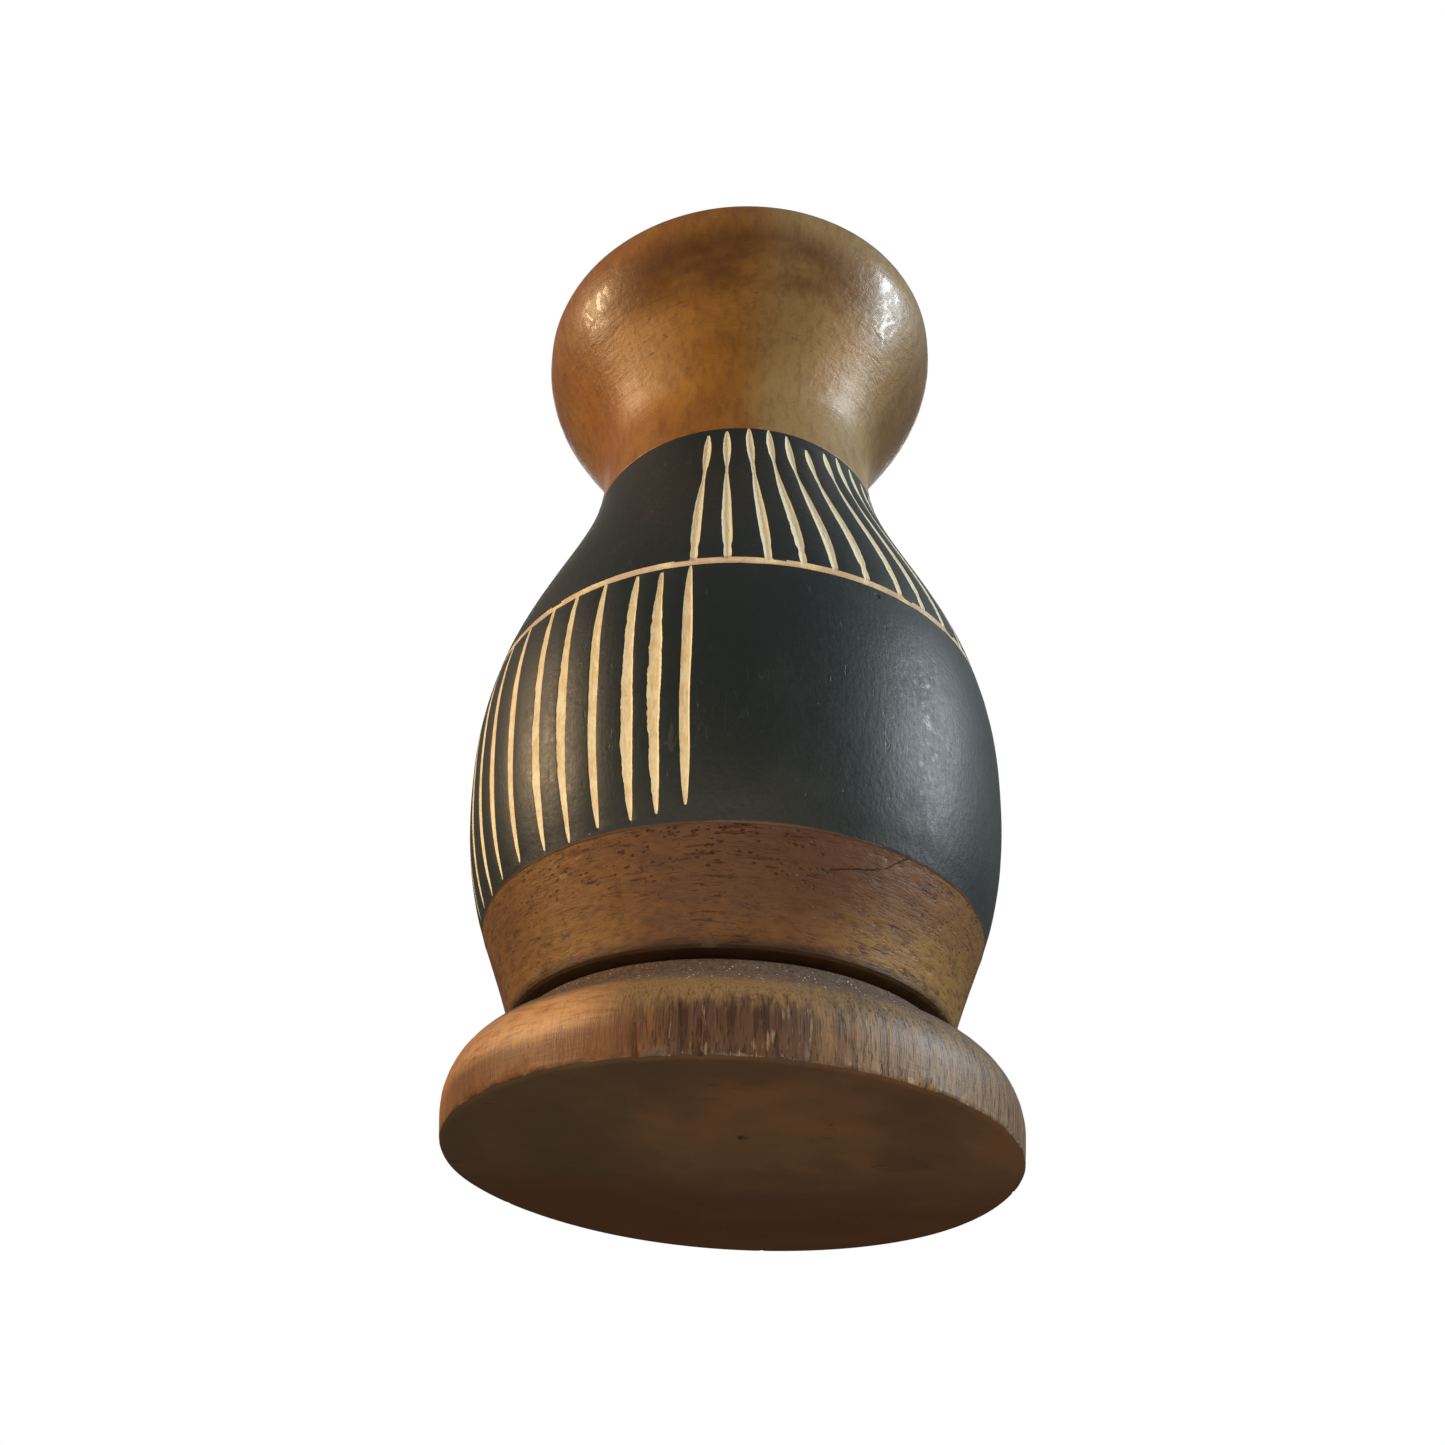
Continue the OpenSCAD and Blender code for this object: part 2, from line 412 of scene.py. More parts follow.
def makeMouthWood():
    # lacquered golden-brown wood: mottled stain, a darker band below the lip that is partly stain and partly
    # painted shade, painted lamp tints, glows and edge shade, brushed fibre marks
    material, surface, start = newMaterial("lacqueredMouthWood")
    where, turn, z = roundVase(start)
    mottle = where.stretched(1, 1, 0.7).noise(75, 5, 0.62, 0.4)
    wide = where.noise(20, 3)
    fine = where.stretched(0.35, 0.35, 1).noise(900, 4, 0.65)
    weave = where.stretched(1, 1, 0.3).noise(620, 3, 0.6)
    colour = (mottle * 0.55 + wide * 0.45).between(0.36, 0.66).tint(mouthWood["brown"], mouthWood["gold"])
    # a warm reddish tint painted on the left side, standing in for the warm lamp's light there
    warmLampTint = turn.between(-0.55, -1.25) * wide.between(0.35, 0.60)
    colour = (warmLampTint * 0.7).tint(colour, mouthWood["warmLampTint"])
    # a greyish olive tint painted on the right side, standing in for the cool lamp's light there
    olive = turn.between(-0.02, 0.30) * turn.between(2.6, 2.0) * mottle.between(0.10, 0.50)
    colour = (olive * 0.85).tint(colour, mouthWood["olive"])
    # a darker band below the lip and a patch right of the middle: partly stain in the wood, partly painted
    # shade
    front = (turn + 0.05).size().between(1.1, 0.3) * 0.85 + 0.15
    darkBandStainAndShade = z.between(0.183, 0.190) * z.between(0.204, 0.195) * front
    patch = z.between(0.166, 0.180) * z.between(0.196, 0.186) * (turn - 0.22).size().between(0.50, 0.10)
    cloudy = where.stretched(0.35, 0.35, 1).noise(70, 4, 0.6).between(0.22, 0.50)
    colour = (darkBandStainAndShade.most(patch * 0.30) * cloudy * 0.85).tint(colour, mouthWood["cloud"])
    # painted glow: the colour kept as worn lightens the cup's flanks at the left and the right, where the two
    # side lamps light them
    lampGlowHeights = z.between(0.163, 0.173) * z.between(0.191, 0.180)
    worn = (turn + 0.62).size().between(0.42, 0.06).most((turn - 0.78).size().between(0.34, 0.06) * 0.9)
    colour = (lampGlowHeights * worn * 0.42).tint(colour, mouthWood["worn"])
    # painted shade: the cup's right edge is darkened with the cloud colour
    rightEdgeShade = turn.between(1.05, 1.40) * turn.between(2.3, 1.9) * z.between(0.166, 0.178) * cloudy
    colour = (rightEdgeShade * 0.6).tint(colour, mouthWood["cloud"])
    marks = fine.between(0.62, 0.74) * where.noise(120, 2).between(0.44, 0.60)
    colour = (marks * 0.6).tint(colour, mouthWood["mark"])
    colour = (weave.between(0.42, 0.72) * 0.30).tint(colour, mouthWood["mark"])
    cracks = thinLines(where, (45, 45, 560), 0.014, 5.3)
    colour = (cracks * 0.5).tint(colour, mouthWood["mark"])
    rough = mottle * 0.22 + fine * 0.20 + (mouthWood["roughness"] - 0.17)
    brushed = where.stretched(0.25, 0.25, 1).noise(1500, 3, 0.6)
    streaky = where.stretched(1, 1, 0.35).noise(520, 4, 0.65, 0.6)
    glints = z.between(0.178, 0.190) * (streaky.between(0.47, 0.60) * 0.85 + 0.15)
    dents = where.noise(330, 3, 0.6)
    height = streaky * 1.1 + mottle + (fine + brushed + dents) * 1.2 + weave * 0.5 - marks * 0.6 - cracks
    finishSurface(surface, {
        "Base Color": colour, "Roughness": rough, "Specular IOR Level": 0.32,
        "Coat Weight": glints * 0.55 + 0.03, "Coat Roughness": 0.17,
        "Normal": bump(height, 0.13 * mm, 0.7),
    })
    return material


baseWood = {
    "red": (0.158, 0.066, 0.025), "brown": (0.078, 0.031, 0.014), "ochreAndSideLight": (0.235, 0.125, 0.032),
    "plum": (0.074, 0.033, 0.020), "golden": (0.300, 0.175, 0.040),
    "pore": (0.020, 0.009, 0.005), "fleck": (0.42, 0.26, 0.11), "roughness": 0.52,
    "crack": ((20.5, 36.2), (33.5, 38.8), (41.5, 43.2)),   # turns in degrees and heights in mm
}


def makeBaseWood():
    # stained wood with open pores, a short crack and the fine rings of the turning tool
    material, surface, start = newMaterial("stainedBaseWood")
    where, turn, z = roundVase(start)
    around = where.stretched(0.10, 0.10, 1)
    toolRings = around.noise(2600, 2, 0.6)
    streaks = where.stretched(0.22, 0.22, 1).noise(420, 4, 0.6)
    wide = where.noise(45, 3)
    speckle = where.stretched(0.4, 0.4, 1).noise(900, 4, 0.7)
    redness = (streaks * 0.35 + wide * 0.30 + speckle * 0.35).between(0.37, 0.62)
    colour = redness.tint(baseWood["brown"], baseWood["red"])
    # the ochre here is partly a lower ochre tone and partly painted lamp light on the two sides, away from
    # the front
    sidesLampLit = (turn - 0.10).size().between(0.15, 0.85)
    ochreAndSideLight = (wide.between(0.42, 0.62) * 0.5 + 0.5) * (sidesLampLit * 0.75 + z.between(0.034, 0.026) * 0.3)
    colour = (ochreAndSideLight * speckle.between(0.25, 0.6) * 0.8).tint(colour, baseWood["ochreAndSideLight"])
    golden = turn.between(0.25, 0.70) * z.between(0.038, 0.026) * speckle.between(0.30, 0.58)
    colour = (golden * 0.7).tint(colour, baseWood["golden"])
    # darker plum towards the upper front
    upperFrontDarker = (turn - 0.24).size().between(0.66, 0.15) * z.between(0.025, 0.033) * wide.between(0.22, 0.50)
    colour = (upperFrontDarker * 0.55).tint(colour, baseWood["plum"])
    gouges = where.stretched(0.12, 0.12, 1).noise(1700, 3, 0.65).between(0.56, 0.70)
    gouges = gouges * where.noise(140, 2).between(0.40, 0.58)
    colour = (gouges * 0.50).tint(colour, baseWood["pore"])
    crowd = where.noise(85, 3, 0.6).between(0.42, 0.60) * z.between(0.027, 0.036)
    pores = where.stretched(0.45, 0.45, 1).cells(1500).between(0.34, 0.16)
    pores = pores * where.noise(520, 1).between(0.47, 0.56)
    bigPores = where.stretched(0.4, 0.4, 1).cells(760).between(0.22, 0.10)
    bigPores = bigPores * where.noise(210, 1).between(0.53, 0.60)
    holes = (pores * (crowd * 0.9 + 0.1)).most(bigPores * (crowd * 0.7 + 0.3))
    colour = (holes * 0.62).tint(colour, baseWood["pore"])
    flecks = where.stretched(0.5, 0.5, 1).cells(900).between(0.12, 0.05)
    flecks = flecks * where.noise(210, 1).between(0.60, 0.68)
    colour = (flecks * 0.5).tint(colour, baseWood["fleck"])
    # darker towards the base's bottom edge, next to the foot
    darkerToBottom = z.between(bodyLow + 2.2 * mm, bodyLow + 0.2 * mm) * 0.8
    colour = darkerToBottom.tint(colour, baseWood["pore"])
    wander = (where.noise(500, 2) - 0.5) * 0.9 * mm
    parts = []
    for (turnA, zA), (turnB, zB) in zip(baseWood["crack"], baseWood["crack"][1:]):
        along = (turn - radians(turnA)) / radians(turnB - turnA)
        off = (z - zA * mm - along * (zB - zA) * mm + wander).size()
        parts.append(off.between(0.17 * mm, 0.04 * mm) * along.between(0, 0.1) * along.between(1, 0.9))
    crack = parts[0].most(parts[1])
    colour = (crack * 0.7).tint(colour, baseWood["pore"])
    rough = streaks * 0.2 + holes * 0.2 + (baseWood["roughness"] - 0.1)
    height = toolRings * 0.45 + streaks * 0.9 + speckle * 1.3 - gouges * 1.3 - holes * 2.2 - crack * 1.8
    finishSurface(surface, {
        "Base Color": colour, "Roughness": rough, "Specular IOR Level": 0.30,
        "Normal": bump(height, 0.16 * mm, 0.85),
    })
    return material


# the bright patch colour at the left is a painted highlight, the collar's white specks are partly painted
# glints, and the underside colours are painted darker for shade
footWood = {
    "orange": (0.45, 0.205, 0.052), "tan": (0.37, 0.200, 0.066), "brown": (0.225, 0.090, 0.026),
    "olive": (0.250, 0.168, 0.078), "warmHighlight": (0.72, 0.42, 0.21), "chalky": (0.52, 0.40, 0.27),
    "plum": (0.082, 0.046, 0.034), "redPlum": (0.110, 0.046, 0.024), "split": (0.022, 0.011, 0.007),
    "grey": (0.125, 0.086, 0.062), "tanGrey": (0.255, 0.170, 0.098),
    "collar": (0.085, 0.052, 0.036), "collarPale": (0.190, 0.130, 0.092), "dustAndGlints": (0.90, 0.85, 0.76),
    "underShaded": (0.100, 0.056, 0.032), "underShadedPale": (0.172, 0.092, 0.050), "underOlive": (0.064, 0.050, 0.029),
    "underRed": (0.088, 0.032, 0.012),
    "collarFrom": (12.4 * mm, 14.8 * mm), "pith": (2.7 * mm, -16.2 * mm), "roughness": 0.46,
}


def footSide(where, turn, z, grain, fine, across, patch):
    # upright grain round the side: a painted warm highlight at the left, streaked plum at the front,
    # weathered grey at the right
    colour = (grain * 0.5 + patch * 0.5).between(0.34, 0.62).tint(footWood["brown"], footWood["orange"])
    topSide = z.between(10.5 * mm, 14.5 * mm)
    colour = (topSide * across.between(0.30, 0.62) * 0.7).tint(colour, footWood["tan"])
    oliveTop = z.between(4.5 * mm, 9 * mm) * turn.between(-0.50, -0.24) * across.between(0.12, 0.40)
    colour = (oliveTop * 0.88).tint(colour, footWood["olive"])
    lowSide = (z + (grain - 0.5) * 9 * mm).between(11.5 * mm, 7 * mm)
    front = turn.between(-0.42, -0.16) * turn.between(0.50, 0.22)
    greyish = turn.between(0.12, 0.42) * turn.between(1.9, 1.2)
    elsewhere = turn.size().between(1.7, 2.0) * where.noise(26, 2).between(0.48, 0.60) * 0.9
    darkZone = front.most(elsewhere) * lowSide
    broad = where.stretched(1, 1, 0.10).noise(230, 4, 0.6)
    colour = (darkZone * broad.between(0.26, 0.46) * 0.92).tint(colour, footWood["plum"])
    smear = where.stretched(1, 1, 0.05).noise(420, 4, 0.6).between(0.52, 0.60)
    colour = (smear * darkZone.most(greyish * 0.5) * 0.60).tint(colour, footWood["split"])
    weathered = grain.between(0.34, 0.62).tint(footWood["grey"], footWood["tanGrey"])
    colour = (greyish * (lowSide * 0.25 + 0.65)).tint(colour, weathered)
    left = turn.between(-0.12, -0.36) * turn.between(-1.5, -1.0)
    lowLeft = left * (z + (grain - 0.5) * 5 * mm + (patch - 0.5) * 8 * mm).between(8.5 * mm, 4.0 * mm)
    colour = (lowLeft * 0.72).tint(colour, footWood["redPlum"])
    flat = across.between(0.54, 0.68) * patch.between(0.38, 0.56)
    colour = (flat * 0.35).tint(colour, footWood["plum"])
    # painted highlight: a honey-coloured sheen on the left side, where the warm lamp falls
    warmHighlight = turn.between(-0.26, -0.52) * turn.between(-1.35, -0.90)
    warmHighlight = warmHighlight * z.between(4.5 * mm, 8 * mm) * z.between(16 * mm, 12 * mm)
    colour = (warmHighlight * across.between(0.25, 0.60) * 0.62).tint(colour, footWood["warmHighlight"])
    dots = where.stretched(1, 1, 0.6).cells(800).between(0.14, 0.06) * where.noise(180, 1).between(0.52, 0.62)
    colour = (dots * 0.8).tint(colour, footWood["split"])
    hair = fine.between(0.52, 0.64) * (darkZone * 0.9).most(greyish * 0.9).most(oliveTop * 0.6).most(0.18)
    colour = (hair * 0.85).tint(colour, footWood["split"])
    rawHair = fine.between(0.38, 0.28) * darkZone.most(greyish)
    colour = (rawHair * 0.6).tint(colour, footWood["grey"])
    edge = z.between(1.3 * mm, 0.2 * mm) * where.noise(330, 2).between(0.40, 0.62)
    colour = (edge * 0.7).tint(colour, footWood["split"])
    splinter = where.stretched(1, 1, 0.10).noise(1300, 3, 0.6).between(0.60, 0.68)
    splinter = splinter * darkZone.most(greyish * 0.6)
    worn = where.noise(700, 3, 0.6).between(0.56, 0.66) * z.between(1.6 * mm, 0.5 * mm)
    worn = worn * turn.between(-0.3, 0.3)
    return (splinter * 0.40).most(worn * 0.6).tint(colour, footWood["chalky"])


def footUnderside(start, where, cloud):
    # growth rings round a pith that is off the middle, with darker olive and red clouds
    pith = where.distance(*footWood["pith"], 0.0)
    rings = start.maths("SINE", where.noise(24, 3) * 14.0 + pith * 330.0) * 0.5 + 0.5
    tone = (rings * 0.11 + cloud * 0.9 + pith.between(0.024, 0.004) * 0.16).between(0.36, 0.70)
    # the underside's colours are painted darker than the wood, standing in for the shade the underside hangs
    # in
    colour = tone.tint(footWood["underShaded"], footWood["underShadedPale"])
    x, y = (start.add("SeparateXYZ", {}, {0: where}, axis) for axis in "XY")
    leftPart = (x + (where.noise(28, 3) - 0.5) * 0.05).between(-0.002, -0.026)
    blotch = where.noise(38, 4, 0.55).between(0.44, 0.62)
    colour = (leftPart * 0.60 + blotch * 0.30).tint(colour, footWood["underOlive"])
    backPart = (y + (where.noise(30, 3) - 0.5) * 0.03).between(-0.002, 0.024)
    colour = (backPart * 0.72).tint(colour, footWood["underRed"])
    hairLines = thinLines(where, (60, 420, 1), 0.02, 2.4)
    colour = (hairLines * 0.6).tint(colour, footWood["split"])
    heart = pith.between(1.5 * mm, 0.3 * mm) * where.stretched(1, 0.4, 1).noise(900, 2).between(0.42, 0.55)
    return (heart * 0.9).tint(colour, footWood["split"])


def makeFootWood():
    # the streaked side, the rough collar with its dust and painted glints, and the underside
    material, surface, start = newMaterial("streakedFootWood")
    where, turn, z = roundVase(start)
    grain = where.stretched(1, 1, 0.045).noise(900, 4, 0.62)
    fine = where.stretched(1, 1, 0.05).noise(3200, 3, 0.6)
    across = where.stretched(0.15, 0.15, 1).noise(1400, 3, 0.6)
    patch = where.noise(40, 3)
    cloud = where.noise(30, 4, 0.6)
    crust = where.noise(1300, 4, 0.7)
    collar = (z + (patch - 0.5) * 2 * mm).between(*footWood["collarFrom"])
    # white specks on the collar: partly dust, partly painted glints
    dustAndGlints = where.cells(1100).between(0.21, 0.10) * where.noise(300, 2).between(0.42, 0.54) * collar
    below = z.between(0.42 * mm, 0.30 * mm)
    colour = footSide(where, turn, z, grain, fine, across, patch)
    colour = collar.tint(colour, crust.between(0.30, 0.72).tint(footWood["collar"], footWood["collarPale"]))
    colour = (dustAndGlints * 0.9).tint(colour, footWood["dustAndGlints"])
    colour = below.tint(colour, footUnderside(start, where, cloud))
    rough = grain * 0.24 + collar * 0.30 + below * 0.14 + (footWood["roughness"] - 0.14)
    height = (grain * 0.7 + fine * 0.8 + across * 0.4) * (1 - below) + (crust * 2.2 + dustAndGlints * 2.0) * collar
    height = height + cloud * 0.4 + below * crust * 0.25
    finishSurface(surface, {
        "Base Color": colour, "Roughness": rough, "Specular IOR Level": 0.35,
        "Normal": bump(height, 0.13 * mm, 0.85),
    })
    return material


hiddenWood = {"dark": (0.070, 0.034, 0.016), "light": (0.20, 0.11, 0.055)}


def makeHiddenWood():
    # unfinished wood inside the vase and in its glued joints, with the gouge's rings
    material, surface, start = newMaterial("unfinishedInsideWood")
    where = start.add("TexCoord", out="Object")
    tool = where.stretched(0.15, 0.15, 1).noise(900, 3, 0.6)
    grain = where.stretched(1, 1, 0.08).noise(700, 3, 0.6)
    colour = (tool * 0.5 + grain * 0.5).between(0.35, 0.65).tint(hiddenWood["dark"], hiddenWood["light"])
    finishSurface(surface, {
        "Base Color": colour, "Roughness": grain * 0.2 + 0.65,
        "Normal": bump(tool + grain * 0.5, 0.2 * mm, 0.7),
    })
    return material


# the foot disc

footShape = {
    "sideTop": 17 * mm,          # the side has rounded over to the collar here
    "columns": 560, "spacing": 0.5 * mm,
    "grainDepth": 0.10 * mm, "wobble": 0.10 * mm,
    "splits": ((-15.5, 6.5, 0.6), (-4.5, 7.5, 0.6), (-9.5, 3.0, 0.3), (14.0, 4.0, 0.35), (-38.0, 3.5, 0.3),
               (27.0, 3.0, 0.3), (96.0, 5.0, 0.4), (171.0, 6.0, 0.5), (-122.0, 4.0, 0.4)),
    "chipDepth": 0.38 * mm, "underHollow": 0.25 * mm, "lopsided": 0.034,
}


def roundness(turn):
    # the old disc is a little out of round at the back
    return 1 + footShape["lopsided"] * sin(turn) * fade(-cos(turn), 0.1, 0.9)


def sunkFootSide(turn, r, z):
    # how far the foot's side lies under the turned outline: grain, splits and a chipped lower edge
    point = Vector(spot(r, turn, z))
    depth = footShape["wobble"] * (0.5 + 0.5 * noise.noise(point * 45))
    onSide = fade(z, 0.0, 0.8 * mm) * fade(footShape["sideTop"] - z, 0, 5 * mm)
    upright = Vector((point.x * 520, point.y * 520, z * 40))
    depth += footShape["grainDepth"] * (0.5 + 0.5 * noise.noise(upright)) * onSide
    for at, tall, deep in footShape["splits"]:   # turn in degrees, height and depth in mm
        across = abs(degrees(turn) - at - 0.4 * noise.noise(Vector((at, z * 300, 0))))
        if across < 0.8 and z < tall * mm:
            depth += deep * mm * (1 - fade(across, 0.1, 0.8)) * fade(tall * mm - z, 0, 2 * mm)
    bite = noise.noise(Vector((sin(turn) * 7, cos(turn) * 7, 4.2))) * fade(cos(turn), -0.1, 0.5)
    small = noise.noise(Vector((sin(turn) * 40, cos(turn) * 40, z * 300))) * fade(cos(turn), -0.2, 0.6)
    lowEdge = 1 - fade(z, 0.2 * mm, 1.9 * mm)
    return depth + lowEdge * footShape["chipDepth"] * (fade(bite, 0.2, 0.5) + 0.6 * fade(small, 0.15, 0.5))


def makeFoot(woods):
    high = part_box("foot")[1].z
    edge = wallLine("foot", 0, bodyLow, radiiAt("foot", 0)[1])
    side = smoothCurve([pair for pair in edge if 0.5 * mm < pair[0] < footShape["sideTop"] + 0.1 * mm])
    sideTop = footShape["sideTop"]
    collarTop = max(z for z, r in edge if z < bodyLow - 0.1 * mm)
    collarRadius, neckRadius = radiiAt("foot", collarTop)[1], radiiAt("foot", bodyLow)[1]
    plugRadius, underRadius = radiiAt("foot", high)[1], radiiAt("foot", 0)[1]
    turns = [tau * (j / footShape["columns"] - 0.5) for j in range(footShape["columns"])]
    grid = []
    for r in evenly(0.8 * mm, underRadius - 0.9 * mm, 1.7 * mm):
        dome = footShape["underHollow"] * fade(underRadius - r, 0.3 * mm, 9 * mm)
        lumps = [0.7 + 0.3 * noise.noise(Vector(spot(r, turn, 0)) * 60) for turn in turns]
        grid.append([spot(r * roundness(turn), turn, dome * lump) for turn, lump in zip(turns, lumps)])
    bevel = [(underRadius - 0.25 * mm, 0.0), (underRadius - 0.02 * mm, 0.08 * mm),
             (side(0.6 * mm) - 0.18 * mm, 0.3 * mm)]
    upright = [(side(z), z) for z in evenly(0.6 * mm, sideTop, footShape["spacing"])]
    topRadius, sweepRise = upright[-1][0], collarTop - 0.3 * mm - sideTop
    sweep = [(topRadius + (collarRadius - topRadius) * t, sideTop + sweepRise * t)
             for t in evenly(0.1, 1, 0.1)]
    for r, z in bevel + upright + sweep:
        oval = 1 - fade(z, 10 * mm, sideTop)
        grid.append([spot((r - sunkFootSide(turn, r, z)) * (1 + (roundness(turn) - 1) * oval), turn, z)
                     for turn in turns])
    inner = [(collarRadius - 0.5 * mm, collarTop), (neckRadius + 0.4 * mm, collarTop),
             (neckRadius, collarTop + 0.3 * mm), (neckRadius, bodyLow - 0.05 * mm), (plugRadius, bodyLow),
             (plugRadius, high - 0.5 * mm), (plugRadius - 0.5 * mm, high)]
    inner += [(plugRadius * share, high) for share in (0.7, 0.4, 0.05)]
    grid += [[spot(r, turn, z) for turn in turns] for r, z in inner]
    plugStart = len(grid) - 6
    foot = turnedPiece("foot.disc", grid, lambda i, j: int(i >= plugStart), woods, loop=False)
    place(foot, "foot", "foot_wood")


# the brown base

baseShape = {
    "columns": 400, "spacing": 0.5 * mm, "toolRipple": 0.035 * mm, "wobble": 0.08 * mm,
    "pitDepth": 0.30 * mm,
}


def makeBase(woods):
    low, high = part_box("base")
    spigot = radiiAt("base", high.z)[1]
    turns = [tau * (j / baseShape["columns"] - 0.5) for j in range(baseShape["columns"])]

    def sunk(turn, z):
        point = Vector(spot(outline(z), turn, z))
        ripple = noise.noise(Vector((point.x * 20, point.y * 20, z * 1500)))
        pit = noise.noise(Vector((point.x * 520, point.y * 520, z * 900 + 40)))
        crowd = noise.noise(point * 70)
        depth = baseShape["wobble"] * (0.5 + 0.5 * noise.noise(point * 50))
        return (depth + baseShape["toolRipple"] * (0.5 + 0.5 * ripple)
                + baseShape["pitDepth"] * fade(pit + 0.35 * crowd, 0.52, 0.75))

    grid = []
    for z in evenly(low.z + 0.4 * mm, beltHeight - 0.12 * mm, baseShape["spacing"]):
        grid.append([spot(outline(z) - sunk(turn, z) * fade(beltHeight - z, 0.1 * mm, 1 * mm), turn, z)
                     for turn in turns])
    rest = [(outline(beltHeight) - 0.12 * mm, beltHeight), (spigot, beltHeight), (spigot, high.z - 0.4 * mm),
            (spigot - 0.4 * mm, high.z)]
    rest += [(insideLine(z), z) for z in reversed(evenly(low.z, high.z, 4 * mm))]
    rest += [(outline(low.z) - 0.5 * mm, low.z)]
    grid += [[spot(r, turn, z) for turn in turns] for r, z in rest]
    firstHidden = len(grid) - len(rest) + 1
    base = turnedPiece("base.brown", grid, lambda i, j: int(firstHidden <= i < len(grid) - 2), woods)
    place(base, "base", "base_wood")


# the two black pieces and their cut lines

cutShape = {
    "rowSpacing": 0.48 * mm, "gapSpread": 3.2,   # degrees between the plain columns in a gap
    "across": (-1.35, -1.0, -0.72, -0.45, -0.2, 0, 0.2, 0.45, 0.72, 1.0, 1.35),
    "leanMiddle": 124, "leanReach": 27,   # the upper lines lean about this height in mm
    "least": 0.16 * mm, "ragged": 0.20, "edgeDrop": 0.05 * mm, "wobble": 0.09 * mm,
    "ringHalf": 0.88 * mm, "ringDepth": 0.9 * mm, "ringChip": 0.18 * mm,
}
lowerLines = {
    "first": -8.7, "gaps": (6, 5.5, 7.5, 7.5, 7, 8.5, 8, 7, 7.5, 7.5, 8),
    "bottoms": (44.8, 43.8, 43.3, 43.1, 42.3, 42.6, 43.3, 43.0, 42.3, 43.0, 42.6, 43.2),
    "tops": (95.0, 94.6, 94.9, 96.5, 97.2, 96.8, 97.5, 96.6, 97.3, 97.0, 96.4, 97.0),
    "widths": (2.1, 2.4, 2.35, 2.0, 2.1, 2.05, 1.95, 1.95, 1.85, 2.05, 1.85, 1.95),
    "rough": (0.3, 1.2, 1.0, 0.4, 1.1, 1.0, 0.4, 0.3, 0.6, 0.4, 0.5, 0.4),
    "deep": 0.36, "keel": 0.45, "scooped": False, "lean": 0,   # deepest at the keel, smooth beyond it
}
upperLines = {
    "first": -9.3, "gaps": (7.1, 8.4, 7.5, 7, 7.6, 8.7, 7, 7.5, 8.5, 7.5, 7),
    "bottom": 93.5, "overlap": 0.7,      # the two strokes of a line run past their pinch by the overlap
    "narrowAt": 100.6, "slimmer": 0.93,
    "tops": (149.4, 150.2, 151.2, 150.9, 150.0, 147.4, 149.3, 150.7, 150.0, 149.6, 150.4, 149.8),
    "pinches": (131.3, 133.6, 134.2, 137.4, 134.1, 135.5, 137.9, 134.6, 136.1, 134.4, 136.6, 135.0),
    "widths": (1.95, 2.1, 2.0, 2.0, 1.95, 2.05, 1.9, 2.0, 1.95, 2.0, 1.9, 2.0),
    "topWidths": (1.75, 1.8, 1.75, 1.7, 1.7, 1.6, 1.7, 1.65, 1.7, 1.6, 1.7, 1.65),
    "rough": (0.5, 0.4, 0.5, 0.6, 0.3, 0.4, 0.5, 0.3, 0.4, 0.5, 0.3, 0.4),
    "deep": 0.19, "keel": -2, "scooped": True, "lean": 1.0,    # smooth all over
}


def lineTurns(lines, sign):
    turns = [lines["first"]]
    for gap in lines["gaps"]:
        turns.append(turns[-1] + sign * gap)
    return turns


def leaf(t, fullness, lean=1.0):
    # outline of one knife stroke: pointed at t = 0 and 1, widest between; a lean below 1 widens it lower down
    return max(0.0, sin(pi * min(1, max(0, t)) ** lean)) ** fullness


def lowerWidth(k, z):
    # full width in mm of lower line k at a height in mm; it passes into the ring if its top is above it
    low, top = lowerLines["bottoms"][k], lowerLines["tops"][k]
    t = (z - low) / (top - low)
    if not 0 < t < 1:
        return 0
    fullness = 0.38 if t > 0.5 else 0.60   # blunter at the top than at the bottom
    return lowerLines["widths"][k] * leaf(t, fullness, 0.8) * (0.92 + 0.08 * sin(k * 2.3 + z / 6))


def upperWidth(k, z):
    # full width in mm of upper line k at a height in mm: two strokes that meet in a pinch
    low, top = upperLines["bottom"], upperLines["tops"][k]
    pinch, overlap = upperLines["pinches"][k], upperLines["overlap"]
    if not low < z < top:
        return 0
    upper = upperLines["topWidths"][k] * leaf((z - pinch + overlap) / (top - pinch + overlap), 0.62, 1.35)
    lower = upperLines["widths"][k] * leaf((z - low) / (pinch + overlap - low), 0.60, 0.70)
    narrow = fade(1 - abs(z - upperLines["narrowAt"]) / 2.2, 0, 1)
    nearRing = 1 - (0.20 + 0.16 * sin(k * 2.9)) * narrow
    neck = (0.36 + 0.08 * sin(k * 4.1)) * upperLines["widths"][k] * fade(4 - abs(z - pinch), 0, 2.5)
    return upperLines["slimmer"] * max(upper, lower * nearRing, neck)


